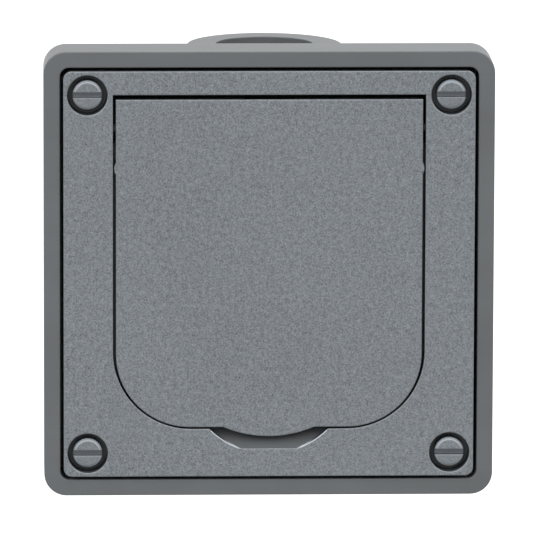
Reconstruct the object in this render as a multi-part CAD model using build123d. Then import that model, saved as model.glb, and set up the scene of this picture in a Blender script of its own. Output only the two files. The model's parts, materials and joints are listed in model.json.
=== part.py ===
from build123d import *
import math
import os

# Surface-mounted, splash-proof earthed wall socket with a sprung flap lid.
# Millimetres. X is to the right, Z is up, and the front faces -Y.
# The wall is the plane Y = 0, and a depth is a distance in front of it,
# so depth d is the plane Y = -d. The origin is on the wall, behind the
# centre of the plug recess.

# Plug recess and the insert behind it
RECESS_RADIUS = 19.5
RECESS_DEPTH = 17.5
WELL_WALL = 2.0
WELL_FLOOR = 2.0
PIN_SPACING = 19.0
PIN_HOLE_RADIUS = 2.75
GUIDE_RIB_WIDTH = 5.3
GUIDE_RIB_HEIGHT = 2.2
GUIDE_RIB_SETBACK = 0.8
CARRIER_DEPTH = 19.0
POST_HEIGHT = 5.6
POST_RADIUS = 3.5
FIXING_PITCH = 23.0
CENTRE_SCREW_RADIUS = 1.5
CENTRE_HEAD_RADIUS = 3.0
NUT_WIDTH = 5.5
NUT_HEIGHT = 2.4
FIXING_SCREW_RADIUS = 1.5
FIXING_HEAD_RADIUS = 2.7
FIXING_HEAD_HEIGHT = 2.0

# Earth strap, contacts and terminals
EARTH_STRIP_WIDTH = 6.4
EARTH_STRIP_THICKNESS = 0.8
EARTH_CLIP_REACH = 3.4
EARTH_CLIP_TOP = 11.3
EARTH_CLIP_BEND = 0.9
EARTH_CLIP_KNEE = 7.35
WINDOW_CLEARANCE = 0.5
CONTACT_STRIP_WIDTH = 6.0
CONTACT_STRIP_THICKNESS = 0.8
CONTACT_GRIP = 4.6
CONTACT_FLARE = 0.9
CONTACT_LENGTH = 14.0
CONTACT_FLOOR = 2.0
CHANNEL_CLEARANCE = 0.4
TERMINAL_OFFSET = 4.5
EARTH_TERMINAL_OFFSET = 5.3
TERMINAL_SCREW_RADIUS = 1.5
TERMINAL_HEAD_RADIUS = 2.6
TERMINAL_HEAD_HEIGHT = 2.2
CLAMP_SIZE = 7.0
CLAMP_THICKNESS = 1.2
EAR_THICKNESS = 2.0
EAR_MARGIN = 1.0

# Back box
BACK_WALL = 2.4
BODY_WALL = 2.2
BODY_CORNER = 6.0
BODY_DRAFT = 1.0
BODY_STEP = 5.5
RIM_WALL = 2.9
RIM_OUTER_CORNER = 4.0
RIM_INNER_CORNER = 1.6
RIM_EDGE = 0.2
COLLAR_DEPTH = 10.2
SHELF_THICKNESS = 2.2
CORNER_BOSS_RADIUS = 3.3
CORNER_BOSS_LENGTH = 16.0
CORNER_BOSS_END = 1.6
BODY_EDGE = 0.6
WALL_HOLE_SPACING = 50.0
WALL_HOLE_RADIUS = 2.3
WALL_SEAL_RADIUS = 4.4
WALL_SEAL_THICKNESS = 1.2
WALL_SEAL_CLEARANCE = 0.3
KNOCKOUT_RADIUS = 10.0
KNOCKOUT_GROOVE = 0.6
KNOCKOUT_DEPTH = 1.2

# Cover, gasket and cover screws
COVER_GAP = 0.6
COVER_PROUD = 0.5
COVER_FACE = 2.6
COVER_CORNER = 1.45
COVER_SKIRT = 1.8
COVER_EDGE = 0.12
SIDE_BAND = 8.75
TOP_BAND = 4.2
BOTTOM_BAND = 8.6
POCKET_FLOOR = 1.8
POCKET_WALL = 1.6
SIDE_LAND = 6.25
WELL_CLEARANCE = 0.3
GASKET_THICKNESS = 1.5
GASKET_WIDTH = 3.7
GASKET_CLEARANCE = 0.3
GASKET_EYELET = 2.8
COVER_SCREW_INSET = 4.25
SCREW_RECESS_RADIUS = 3.6
SCREW_RECESS_DEPTH = 3.4
SCREW_RECESS_WALL = 1.1
SCREW_HEAD_RADIUS = 2.62
SCREW_HEAD_SETBACK = 0.3
SCREW_HEAD_CHAMFER = 0.45
SCREW_SLOT_WIDTH = 1.0
SCREW_SLOT_DEPTH = 1.1
SCREW_SHAFT_RADIUS = 1.6
SCREW_LENGTH = 17.0
SCREW_CLEARANCE = 0.3
THREAD_GAP = 0.02

# Flap lid, hinge and seal
LID_THICKNESS = 2.6
LID_GAP = 0.55
LID_TOP_GAP = 0.85
LID_BOTTOM_GAP = 0.35
LID_CORNER = 13.2
LID_EDGE = 0.15
LID_HEEL = 5.4
LID_CORE_DEPTH = 0.9
LID_CORE_INSET = 0.7
LID_SKIN = 0.9
OPENING_CORNER = 13.9
SEAL_GAP = 0.9
SEAL_WIDTH = 1.4
SEAL_GROOVE = 1.0
SEAL_CLEARANCE = 0.1
STOP_WALL = 1.4
STOP_CLEARANCE = 0.4
HINGE_BELOW_FACE = 3.0
HINGE_ABOVE_STOP = 2.75
HINGE_PIN_RADIUS = 1.0
HINGE_RUNNING_GAP = 0.05
HINGE_PRESS_GAP = 0.01
HINGE_PIN_SETBACK = 0.3
HINGE_RIB = 2.4
LUG_RADIUS = 2.2
OUTER_LUG_WIDTH = 5.3
INNER_LUG_WIDTH = 4.0
INNER_LUG_PLACE = 11.0
TROUGH_CLEARANCE = 0.34
TROUGH_WALL = 1.4
TROUGH_END_WALL = 1.1
TROUGH_LIP = 1.0
NUB_BELOW_TOP = 12.4
NUB_LENGTH = 2.2
NUB_RISE = 0.3
SPRING_WIRE = 0.6
SPRING_PITCH = 0.56
SPRING_COIL_RADIUS = 1.6
SPRING_TURNS = 8
SPRING_NOTCH_CLEARANCE = 2.1
SPRING_LEG_GAP = 0.1

# Finger tab and the scoop under it
TAB_HALF_WIDTH = 8.15
TAB_DROP = 1.7
TAB_THICKNESS = 1.0
SCOOP_RADIUS = 14.8
SCOOP_REACH = 3.6
SCOOP_END_WIDTH = 9.8
SCOOP_DEPTH = 2.2

# Cable entry: a bush snapped into the top of the box, and the grommet in it
ENTRY_DEPTH = 21.5
BUSH_RING_RADIUS = 14.0
BUSH_RISE = 2.8
BUSH_EDGE = 0.35
BUSH_RADIUS = 11.0
BUSH_LIP = 0.5
BUSH_LIP_HEIGHT = 1.2
BUSH_LIP_GAP = 0.05
ENTRY_BORE_RADIUS = 8.8
ENTRY_RECESS = 2.2
GROMMET_SEAT_RADIUS = 9.2
GROMMET_FLANGE = 1.5
GROMMET_FLANGE_WIDTH = 1.5
GROMMET_WALL = 1.2
GROMMET_MEMBRANE = 0.8
GROMMET_DOME = 0.9
GROMMET_NIPPLE_RADIUS = 2.4
GROMMET_GAP = 0.05

# Depths, added up from the wall to the front of the cover
carrier_back = BACK_WALL + POST_HEIGHT
carrier_front = carrier_back + CARRIER_DEPTH
recess_floor = carrier_front + WELL_FLOOR
well_front = recess_floor + RECESS_DEPTH
lid_back = well_front + SEAL_GAP
front = lid_back + LID_THICKNESS
contact_seat = carrier_back + CONTACT_FLOOR
strap_seat = carrier_front - EARTH_STRIP_THICKNESS
nut_front = carrier_back + NUT_HEIGHT
collar_front = front - COVER_PROUD
collar_back = collar_front - COLLAR_DEPTH
shelf_front = collar_back + SHELF_THICKNESS
gasket_front = shelf_front + GASKET_THICKNESS
face_back = front - COVER_FACE

# Heights and half widths, added up outwards from the recess
well_radius = RECESS_RADIUS + WELL_WALL
stop_face = well_radius + STOP_CLEARANCE + STOP_WALL
hinge_height = stop_face + HINGE_ABOVE_STOP
hinge_depth = front - HINGE_BELOW_FACE
lid_top = hinge_height + LID_HEEL
opening_top = lid_top + LID_TOP_GAP
cover_half_height = opening_top + TOP_BAND
opening_bottom = BOTTOM_BAND - cover_half_height
lid_bottom = opening_bottom + LID_BOTTOM_GAP
opening_half_width = well_radius + SIDE_LAND
lid_half_width = opening_half_width - LID_GAP
cover_half_width = opening_half_width + SIDE_BAND
rim_half_width = cover_half_width + COVER_GAP
rim_half_height = cover_half_height + COVER_GAP
housing_half_width = rim_half_width + RIM_WALL
housing_half_height = rim_half_height + RIM_WALL
body_half_width = housing_half_width - BODY_STEP
body_half_height = housing_half_height - BODY_STEP
screw_x = cover_half_width - COVER_SCREW_INSET
screw_z = cover_half_height - COVER_SCREW_INSET
heel_radius = math.hypot(LID_HEEL, HINGE_BELOW_FACE)
trough_radius = heel_radius + TROUGH_CLEARANCE
screw_seat = front - SCREW_RECESS_DEPTH
terminal_reach = well_radius + TERMINAL_OFFSET
earth_reach = well_radius + EARTH_TERMINAL_OFFSET
tongue_half_width = CLAMP_SIZE / 2 + EAR_MARGIN
tongue_start = well_radius - EARTH_STRIP_WIDTH / 2
draft = math.tan(math.radians(BODY_DRAFT))
entry_inset = (shelf_front - ENTRY_DEPTH) * draft
entry_top = body_half_height + BUSH_RISE
grommet_top = entry_top - ENTRY_RECESS
lip_inset = entry_inset + (BUSH_RADIUS + BUSH_LIP) * draft
lip_top = body_half_height - BODY_WALL - lip_inset - BUSH_LIP_GAP
bush_bottom = lip_top - BUSH_LIP_HEIGHT
from_above = Plane(origin=(0, 0, 0), x_dir=(1, 0, 0), z_dir=(0, 0, -1))
from_the_side = Plane(origin=(0, 0, 0), x_dir=(0, 0, 1), z_dir=(1, 0, 0))
corner_signs = [(-1, 1), (1, 1), (-1, -1), (1, -1)]
corner_names = ["top_left", "top_right", "bottom_left", "bottom_right"]


def at_depth(depth):
    """Plane parallel to the wall, facing the front: its own x is X and its own y is Z."""
    return Plane.XZ.offset(depth)


def slab(outline, back, front_depth):
    """Sketch made solid between two depths."""
    return extrude(at_depth(back) * outline, amount=front_depth - back)


def block(half_width, bottom, top, back, front_depth, x=0.0):
    """Plain block about x, between two heights and two depths."""
    outline = Pos(x, (bottom + top) / 2) * Rectangle(2 * half_width, top - bottom)
    return slab(outline, back, front_depth)


def rod(radius, x, z, back, front_depth):
    """Round bar square to the wall."""
    return slab(Pos(x, z) * Circle(radius), back, front_depth)


def hinge_rod(radius, left, right):
    """Round bar along the hinge line."""
    outline = Pos(-hinge_depth, hinge_height) * Circle(radius)
    return extrude(Plane.YZ.offset(left) * outline, amount=right - left)


def entry_rod(radius, bottom, top):
    """Upright round bar on the centre line of the cable entry."""
    outline = Pos(0, -ENTRY_DEPTH) * Circle(radius)
    return extrude(Plane.XY.offset(bottom) * outline, amount=top - bottom)


def side_profile(outline, left, right):
    """Sketch in Z (its x) and depth (its y), made solid between two places along X."""
    return extrude(from_the_side.offset(left) * outline, amount=right - left)


def flap_outline(half_width, top, bottom, corner):
    """Flap shape: square corners at the top and two large round ones at the bottom."""
    outline = Pos(0, (top + bottom) / 2) * Rectangle(2 * half_width, top - bottom)
    return fillet(outline.vertices().sort_by(Axis.Y)[:2], corner)


def front_edges(shape):
    """Edges of the foremost flat face."""
    return shape.faces().sort_by(Axis.Y)[0].edges()


def back_edges(shape):
    """Edges of the flat face nearest to the wall."""
    return shape.faces().sort_by(Axis.Y)[-1].edges()


def drafted_body(inset, back):
    """Body of the back box, or its cavity with an inset: it narrows towards the wall."""
    outline = RectangleRounded(
        2 * (body_half_width - inset), 2 * (body_half_height - inset), BODY_CORNER - inset
    )
    depth = shelf_front - back
    return extrude(at_depth(shelf_front) * outline, amount=depth, dir=(0, 1, 0), taper=BODY_DRAFT)


def corner_boss(x, z):
    """Round boss for a cover screw, with a rounded end towards the wall."""
    boss = rod(CORNER_BOSS_RADIUS, x, z, shelf_front - CORNER_BOSS_LENGTH, shelf_front)
    return fillet(back_edges(boss), CORNER_BOSS_END)


def earth_clip(points):
    """Sprung end of the earth strap, bent round straight runs given in height and depth."""
    path = FilletPolyline(*points, radius=EARTH_CLIP_BEND)
    bent = offset(path, amount=EARTH_STRIP_THICKNESS, side=Side.LEFT, kind=Kind.INTERSECTION)
    return extrude(from_the_side * make_face(bent), amount=EARTH_STRIP_WIDTH / 2, both=True)


def make_back_box():
    """Wall box: drafted body, wider collar, corner bosses and posts for the carrier."""
    collar_outline = RectangleRounded(
        2 * housing_half_width, 2 * housing_half_height, RIM_OUTER_CORNER
    )
    collar = slab(collar_outline, collar_back, collar_front)
    collar = fillet(back_edges(collar), RIM_EDGE)
    rim_inside = RectangleRounded(2 * rim_half_width, 2 * rim_half_height, RIM_INNER_CORNER)
    collar -= slab(rim_inside, shelf_front, collar_front)
    collar = fillet(front_edges(collar), RIM_EDGE)
    body = drafted_body(0, 0)
    box = collar + fillet(back_edges(body), BODY_EDGE)
    cavity = drafted_body(BODY_WALL, BACK_WALL)
    for x_sign, z_sign in corner_signs:
        boss = corner_boss(x_sign * screw_x, z_sign * screw_z)
        box += boss
        cavity -= boss
    box -= cavity
    for x_sign, z_sign in corner_signs:
        pilot = SCREW_SHAFT_RADIUS + THREAD_GAP
        pilot_back = screw_seat - SCREW_LENGTH - SCREW_CLEARANCE
        box -= rod(pilot, x_sign * screw_x, z_sign * screw_z, pilot_back, shelf_front)
        post_x = x_sign * FIXING_PITCH / 2
        post_z = z_sign * FIXING_PITCH / 2
        box += rod(POST_RADIUS, post_x, post_z, BACK_WALL, carrier_back)
        hole_x = x_sign * WALL_HOLE_SPACING / 2
        hole_z = z_sign * WALL_HOLE_SPACING / 2
        box -= rod(WALL_HOLE_RADIUS, hole_x, hole_z, 0, BACK_WALL)
    for side in (-1, 1):
        place = side * FIXING_PITCH / 2
        pilot = FIXING_SCREW_RADIUS + THREAD_GAP
        box -= rod(pilot, place, -place, BACK_WALL, carrier_back)
    box -= entry_rod(BUSH_RADIUS, 0, body_half_height)
    groove_top = KNOCKOUT_DEPTH + entry_inset - body_half_height
    groove = entry_rod(KNOCKOUT_RADIUS, -housing_half_height, groove_top)
    core = entry_rod(KNOCKOUT_RADIUS - KNOCKOUT_GROOVE, -housing_half_height, groove_top)
    return box - (groove - core)


def make_entry_bush():
    """Round bush on top of the box: a ring outside, and a spigot with a snap lip inside."""
    ring = entry_rod(BUSH_RING_RADIUS, body_half_height - BODY_WALL, entry_top)
    ring = fillet(ring.faces().sort_by(Axis.Z)[-1].edges(), BUSH_EDGE)
    bush = ring - drafted_body(0, 0)
    bush += entry_rod(BUSH_RADIUS - THREAD_GAP, bush_bottom, grommet_top)
    bush += entry_rod(BUSH_RADIUS + BUSH_LIP, bush_bottom, lip_top)
    bush -= entry_rod(ENTRY_BORE_RADIUS, grommet_top, entry_top)
    return bush - entry_rod(GROMMET_SEAT_RADIUS, bush_bottom, grommet_top)


def make_cover():
    """Cover: textured face, skirt, lid pocket, hinge trough, screw recesses and finger scoop."""
    outline = RectangleRounded(2 * cover_half_width, 2 * cover_half_height, COVER_CORNER)
    inside = Rectangle(
        2 * (cover_half_width - COVER_SKIRT), 2 * (cover_half_height - COVER_SKIRT)
    )
    envelope = slab(outline, gasket_front, front)
    cover = envelope - slab(inside, gasket_front, face_back)
    boss_radius = SCREW_RECESS_RADIUS + SCREW_RECESS_WALL
    for x_sign, z_sign in corner_signs:
        boss = rod(boss_radius, x_sign * screw_x, z_sign * screw_z, gasket_front, face_back)
        cover += boss & envelope
    opening = flap_outline(opening_half_width, opening_top, opening_bottom, OPENING_CORNER)
    pocket = flap_outline(
        opening_half_width + POCKET_WALL,
        opening_top + POCKET_WALL,
        opening_bottom - POCKET_WALL,
        OPENING_CORNER + POCKET_WALL,
    )
    floor_back = well_front - POCKET_FLOOR
    cover += slab(pocket, floor_back, face_back)
    trough_half = opening_half_width + TROUGH_END_WALL
    shell = hinge_rod(trough_radius + TROUGH_WALL, -trough_half, trough_half)
    reach = trough_radius + TROUGH_WALL
    shell &= block(
        trough_half, stop_face - STOP_WALL, hinge_height + reach, hinge_depth - reach, face_back
    )
    cover += shell
    for side in (-1, 1):
        rib_centre = side * (opening_half_width + cover_half_width) / 2
        cover += block(
            (cover_half_width - opening_half_width) / 2,
            hinge_height - HINGE_RIB,
            hinge_height + HINGE_RIB,
            hinge_depth - HINGE_RIB,
            face_back,
            rib_centre,
        )
    cover -= slab(opening, well_front, front)
    trough = hinge_rod(trough_radius, -opening_half_width, opening_half_width)
    trough &= block(
        opening_half_width,
        stop_face,
        hinge_height + trough_radius,
        hinge_depth - trough_radius,
        front - TROUGH_LIP,
    )
    cover -= trough
    cover -= rod(well_radius + WELL_CLEARANCE, 0, 0, floor_back, well_front)
    pin_hole = HINGE_PIN_RADIUS + HINGE_PRESS_GAP
    cover -= hinge_rod(pin_hole, -cover_half_width, cover_half_width)
    for x_sign, z_sign in corner_signs:
        x = x_sign * screw_x
        z = z_sign * screw_z
        cover -= rod(SCREW_RECESS_RADIUS, x, z, screw_seat, front)
        cover -= rod(SCREW_SHAFT_RADIUS + SCREW_CLEARANCE, x, z, gasket_front, screw_seat)
    cover = fillet(front_edges(cover), COVER_EDGE)
    return cover - finger_scoop()


def finger_scoop():
    """Scoop with round sides in the cover's lower band: its floor slopes up to a straight end."""
    low = opening_bottom - SCOOP_REACH
    centre = low + math.sqrt(SCOOP_RADIUS**2 - (SCOOP_END_WIDTH / 2) ** 2)
    above = opening_bottom + SCOOP_REACH
    slope = SCOOP_DEPTH / SCOOP_REACH
    ramp = make_face(
        Polyline(
            (low, front),
            (above, front),
            (above, front - slope * (above - low)),
            close=True,
        )
    )
    wedge = side_profile(ramp, -SCOOP_RADIUS, SCOOP_RADIUS)
    return wedge & rod(SCOOP_RADIUS, 0, centre, front - 2 * SCOOP_DEPTH, front)


def make_gasket():
    """Flat gasket on the shelf, with an eyelet round each cover screw."""
    outer_x = rim_half_width - GASKET_CLEARANCE
    outer_z = rim_half_height - GASKET_CLEARANCE
    outer = RectangleRounded(2 * outer_x, 2 * outer_z, RIM_INNER_CORNER)
    inner = Rectangle(2 * (outer_x - GASKET_WIDTH), 2 * (outer_z - GASKET_WIDTH))
    outline = outer - inner
    for x_sign, z_sign in corner_signs:
        outline += Pos(x_sign * screw_x, z_sign * screw_z) * Circle(GASKET_EYELET)
    for x_sign, z_sign in corner_signs:
        hole = Circle(SCREW_SHAFT_RADIUS + SCREW_CLEARANCE)
        outline -= Pos(x_sign * screw_x, z_sign * screw_z) * hole
    return slab(outline, shelf_front, gasket_front)


def make_cover_screw(x, z):
    """Slotted cover screw with a chamfered cheese head."""
    head_front = front - SCREW_HEAD_SETBACK
    head = rod(SCREW_HEAD_RADIUS, x, z, screw_seat, head_front)
    head = chamfer(front_edges(head), SCREW_HEAD_CHAMFER)
    slot_half = SCREW_SLOT_WIDTH / 2
    head -= block(
        SCREW_HEAD_RADIUS,
        z - slot_half,
        z + slot_half,
        head_front - SCREW_SLOT_DEPTH,
        head_front,
        x,
    )
    return head + rod(SCREW_SHAFT_RADIUS, x, z, screw_seat - SCREW_LENGTH, screw_seat)


def tab_outline():
    """Round finger tab below the lid's straight bottom edge."""
    radius = (TAB_HALF_WIDTH**2 + TAB_DROP**2) / (2 * TAB_DROP)
    centre = lid_bottom - TAB_DROP + radius
    disc = Pos(0, centre) * Circle(radius)
    band = Pos(0, lid_bottom) * Rectangle(2 * TAB_HALF_WIDTH, 2 * TAB_DROP)
    return disc & band


def make_lid():
    """Flap lid: flat plate with a heel above the hinge, lugs, seal groove, nubs and tab."""
    plate = flap_outline(lid_half_width, lid_top, lid_bottom, LID_CORNER)
    nub_radius = (NUB_LENGTH**2 / 4 + NUB_RISE**2) / (2 * NUB_RISE)
    for side in (-1, 1):
        nub_x = side * (lid_half_width + NUB_RISE - nub_radius)
        plate += Pos(nub_x, lid_top - NUB_BELOW_TOP) * Circle(nub_radius)
    lid = slab(plate, lid_back, front)
    lid += slab(tab_outline(), front - TAB_THICKNESS, front)
    lid = fillet(front_edges(lid), LID_EDGE)
    inner_half = lid_half_width - OUTER_LUG_WIDTH
    groove_radius = HINGE_BELOW_FACE - LID_SKIN
    lid -= hinge_rod(groove_radius, -inner_half, inner_half)
    for side in (-1, 1):
        lug_edges = sorted((side * inner_half, side * lid_half_width))
        lid += hinge_rod(LUG_RADIUS, *lug_edges)
        inner_centre = side * INNER_LUG_PLACE
        inner_lug = hinge_rod(
            LUG_RADIUS, inner_centre - INNER_LUG_WIDTH / 2, inner_centre + INNER_LUG_WIDTH / 2
        )
        lid += inner_lug
    notch_half = SPRING_TURNS * SPRING_PITCH / 2 + SPRING_NOTCH_CLEARANCE
    lid -= block(notch_half, hinge_height, lid_top, lid_back, front - LID_SKIN)
    lid -= hinge_rod(
        HINGE_PIN_RADIUS + HINGE_RUNNING_GAP, -lid_half_width, lid_half_width
    )
    seal_outer = well_radius - SEAL_CLEARANCE
    seal_inner = seal_outer - SEAL_WIDTH
    groove = rod(seal_outer + SEAL_CLEARANCE, 0, 0, lid_back, lid_back + SEAL_GROOVE)
    groove -= rod(seal_inner - SEAL_CLEARANCE, 0, 0, lid_back, lid_back + SEAL_GROOVE)
    lid -= groove
    core_radius = seal_inner - SEAL_CLEARANCE - LID_CORE_INSET
    return lid - rod(core_radius, 0, 0, lid_back, lid_back + LID_CORE_DEPTH)


def make_lid_seal():
    """Rubber ring in the lid's groove, which closes on the rim of the recess."""
    outer = well_radius - SEAL_CLEARANCE
    ring = Circle(outer) - Circle(outer - SEAL_WIDTH)
    return slab(ring, well_front, lid_back + SEAL_GROOVE)


def make_hinge_pin():
    """Steel pin from one side of the cover to the other, through the lid's lugs."""
    half = cover_half_width - HINGE_PIN_SETBACK
    return hinge_rod(HINGE_PIN_RADIUS, -half, half)


def spring_leg(x, up, ahead, side):
    """Straight end of the spring wire, tangent to the coil and ending at a place off the hinge."""
    reach = math.hypot(up, ahead)
    towards = math.atan2(ahead, up)
    touch = towards + side * math.acos(SPRING_COIL_RADIUS / reach)
    start = Vector(
        x,
        -(hinge_depth + SPRING_COIL_RADIUS * math.sin(touch)),
        hinge_height + SPRING_COIL_RADIUS * math.cos(touch),
    )
    end = Vector(x, -(hinge_depth + ahead), hinge_height + up)
    start -= (end - start).normalized() * SPRING_WIRE / 2
    plane = Plane(origin=start, x_dir=(1, 0, 0), z_dir=end - start)
    return extrude(plane * Circle(SPRING_WIRE / 2), amount=(end - start).length)


def make_lid_spring():
    """Torsion spring round the pin: one leg behind the lid's heel, one on the trough's floor."""
    wire = SPRING_WIRE / 2
    side_place = (SPRING_TURNS - 1) * SPRING_PITCH / 2
    profile = Pos(-side_place, SPRING_COIL_RADIUS) * Circle(wire)
    for turn in range(1, SPRING_TURNS):
        profile += Pos(turn * SPRING_PITCH - side_place, SPRING_COIL_RADIUS) * Circle(wire)
    coil = Pos(0, -hinge_depth, hinge_height) * revolve(profile, Axis.X)
    heel_ahead = HINGE_BELOW_FACE - LID_SKIN - wire - SPRING_LEG_GAP
    lid_leg = spring_leg(side_place, LID_HEEL - 2 * wire, heel_ahead, -1)
    floor_up = wire + SPRING_LEG_GAP - HINGE_ABOVE_STOP
    floor_ahead = -math.sqrt((trough_radius - wire - SPRING_LEG_GAP) ** 2 - floor_up**2)
    floor_leg = spring_leg(-side_place, floor_up, floor_ahead, 1)
    return coil + lid_leg + floor_leg


def make_socket_well():
    """Round plug recess with guide ribs, pin holes, earth windows and the centre screw hole."""
    well = rod(well_radius, 0, 0, carrier_front, well_front)
    well -= rod(RECESS_RADIUS, 0, 0, recess_floor, well_front)
    rib_front = well_front - GUIDE_RIB_SETBACK
    rib_half = GUIDE_RIB_WIDTH / 2
    for side in (-1, 1):
        rib_centre = side * (RECESS_RADIUS - GUIDE_RIB_HEIGHT + well_radius) / 2
        rib_reach = (well_radius - RECESS_RADIUS + GUIDE_RIB_HEIGHT) / 2
        rib = block(rib_reach, -rib_half, rib_half, recess_floor, rib_front, rib_centre)
        well += rib & rod(well_radius, 0, 0, recess_floor, rib_front)
        well -= rod(PIN_HOLE_RADIUS, side * PIN_SPACING / 2, 0, carrier_front, recess_floor)
    window_half = EARTH_STRIP_WIDTH / 2 + WINDOW_CLEARANCE
    window_front = carrier_front + EARTH_CLIP_TOP + 2 * WINDOW_CLEARANCE + EARTH_STRIP_THICKNESS
    for side in (-1, 1):
        window_edges = sorted((side * RECESS_RADIUS / 2, side * (well_radius + 1)))
        well -= block(window_half, *window_edges, recess_floor, window_front)
    well -= rod(CENTRE_SCREW_RADIUS + SCREW_CLEARANCE, 0, 0, carrier_front, recess_floor)
    return well - centre_head(THREAD_GAP)


def centre_head(gap):
    """Countersunk head of the centre screw, or the seat for it with a gap added."""
    radius = CENTRE_HEAD_RADIUS + gap
    sink = CENTRE_HEAD_RADIUS - CENTRE_SCREW_RADIUS
    profile = make_face(
        Polyline(
            (0, recess_floor - sink - gap),
            (CENTRE_SCREW_RADIUS, recess_floor - sink - gap),
            (radius, recess_floor),
            (0, recess_floor),
            close=True,
        )
    )
    return revolve(from_above * profile, Axis.Y)


def make_centre_screw():
    """Screw that holds the recess, the earth strap and the carrier together."""
    nut_end = carrier_back
    sink = CENTRE_HEAD_RADIUS - CENTRE_SCREW_RADIUS
    screw = rod(CENTRE_SCREW_RADIUS, 0, 0, nut_end, recess_floor - sink)
    screw += centre_head(0)
    slot_half = SCREW_SLOT_WIDTH / 2
    return screw - block(
        CENTRE_HEAD_RADIUS, -slot_half, slot_half, recess_floor - SCREW_SLOT_DEPTH, recess_floor
    )


def make_centre_nut():
    """Hexagon nut let into the back of the carrier."""
    nut = slab(RegularPolygon(NUT_WIDTH / 2, 6, major_radius=False), carrier_back, nut_front)
    return nut - rod(CENTRE_SCREW_RADIUS + THREAD_GAP, 0, 0, carrier_back, nut_front)


def make_carrier():
    """Moulded contact carrier: round block, ears under the terminals, channels and seats."""
    ear_half = CLAMP_SIZE / 2 + EAR_MARGIN
    ear_reach = terminal_reach + ear_half
    carrier = rod(well_radius, 0, 0, carrier_back, carrier_front)
    carrier += block(ear_reach, -ear_half, ear_half, carrier_back, contact_seat)
    foot_reach = earth_reach + ear_half
    carrier += block(ear_half, -foot_reach, 0, strap_seat - 2 * EAR_THICKNESS, strap_seat)
    channel_half = CONTACT_STRIP_WIDTH / 2 + CHANNEL_CLEARANCE
    channel_start = PIN_SPACING / 2 - CONTACT_GRIP
    channel_centre = (channel_start + well_radius) / 2
    channel_reach = (well_radius - channel_start) / 2
    for side in (-1, 1):
        carrier -= block(
            channel_reach,
            -channel_half,
            channel_half,
            contact_seat,
            carrier_front,
            side * channel_centre,
        )
        x = side * terminal_reach
        carrier -= rod(
            TERMINAL_SCREW_RADIUS + SCREW_CLEARANCE, x, 0, carrier_back, contact_seat
        )
    strap_half = EARTH_STRIP_WIDTH / 2 + SEAL_CLEARANCE
    carrier -= block(strap_half, -well_radius, well_radius, strap_seat, carrier_front)
    tongue_half = tongue_half_width + SEAL_CLEARANCE
    carrier -= block(tongue_half, -foot_reach, -tongue_start, strap_seat, carrier_front)
    earth_hole = TERMINAL_SCREW_RADIUS + SCREW_CLEARANCE
    carrier -= rod(earth_hole, 0, -earth_reach, strap_seat - 2 * EAR_THICKNESS, strap_seat)
    shaft_hole = CENTRE_SCREW_RADIUS + THREAD_GAP
    carrier -= rod(shaft_hole, 0, 0, carrier_back, carrier_front)
    nut_seat = RegularPolygon(NUT_WIDTH / 2 + THREAD_GAP, 6, major_radius=False)
    carrier -= slab(nut_seat, carrier_back, nut_front)
    for side in (-1, 1):
        place = side * FIXING_PITCH / 2
        head_seat = carrier_front - FIXING_HEAD_HEIGHT - SCREW_CLEARANCE
        carrier -= rod(FIXING_SCREW_RADIUS + SCREW_CLEARANCE, place, -place, carrier_back, head_seat)
        carrier -= rod(
            FIXING_HEAD_RADIUS + SCREW_CLEARANCE, place, -place, head_seat, carrier_front
        )
        carrier -= rod(POST_RADIUS, place, place, contact_seat, carrier_front)
    return carrier


def make_earth_strap():
    """Earth strap under the recess, with a sprung clip at each end and a terminal tongue."""
    arm_inner = well_radius + STOP_CLEARANCE
    arm_outer = arm_inner + EARTH_STRIP_THICKNESS
    strap = block(EARTH_STRIP_WIDTH / 2, -arm_outer, arm_outer, strap_seat, carrier_front)
    tongue_end = earth_reach + CLAMP_SIZE / 2
    tongue = block(
        tongue_half_width, -tongue_end, -tongue_start, strap_seat, carrier_front
    )
    lanced = EARTH_STRIP_WIDTH / 2 + SEAL_CLEARANCE
    slot_end = arm_outer + STOP_CLEARANCE
    tongue -= block(lanced, -slot_end, -arm_outer, strap_seat, carrier_front)
    strap += tongue
    clip_top = carrier_front + EARTH_CLIP_TOP
    clip_reach = RECESS_RADIUS - EARTH_CLIP_REACH
    clip_end = (recess_floor + 1, RECESS_RADIUS - EARTH_STRIP_THICKNESS)
    clip_knee = (carrier_front + EARTH_CLIP_KNEE, clip_reach)
    for side in (-1, 1):
        points = [
            (arm_inner * side, strap_seat),
            (arm_inner * side, clip_top),
            (side * clip_knee[1], clip_knee[0]),
            (side * clip_end[1], clip_end[0]),
        ]
        if side > 0:
            points.reverse()
        strap += earth_clip(points)
    strap -= rod(CENTRE_SCREW_RADIUS + SCREW_CLEARANCE, 0, 0, strap_seat, carrier_front)
    tapped = TERMINAL_SCREW_RADIUS + THREAD_GAP
    return strap - rod(tapped, 0, -earth_reach, strap_seat, carrier_front)


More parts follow.
